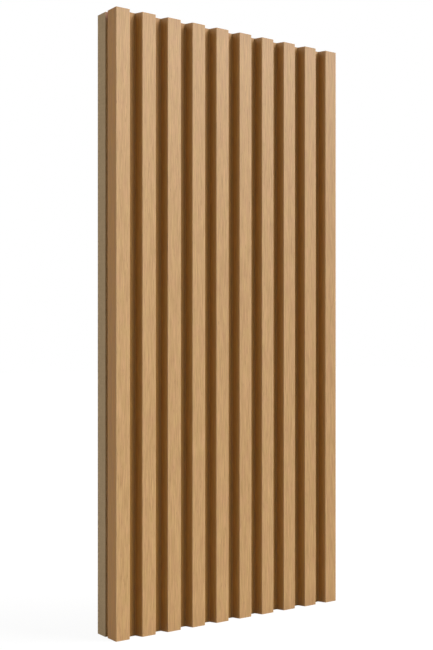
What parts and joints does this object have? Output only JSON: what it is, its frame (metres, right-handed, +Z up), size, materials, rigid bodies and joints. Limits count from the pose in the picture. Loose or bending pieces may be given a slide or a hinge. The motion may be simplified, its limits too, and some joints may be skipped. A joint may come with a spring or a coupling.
{
  "type": "fluted wall panel",
  "caption": "Upright wall panel with tapered ribs and flutes: oak veneer wrapped over a milled fibreboard core, slotted along both long edges.",
  "frame": {"origin": "centre of the flat back face, which goes against the wall", "axes": "+Z up along the ribs, +Y out of the back face towards the wall, +X across the panel to the right as seen from the front"},
  "size_m": [0.2, 0.0256, 0.433],
  "materials": {
    "raw_fibreboard": "raw, fine fibre speckle, matt",
    "oak_veneer": "straight grained oak, clear matt lacquer"
  },
  "bodies": {
    "root": {"core_board": "raw_fibreboard", "oak_face": "oak_veneer"}
  },
  "joints": []
}
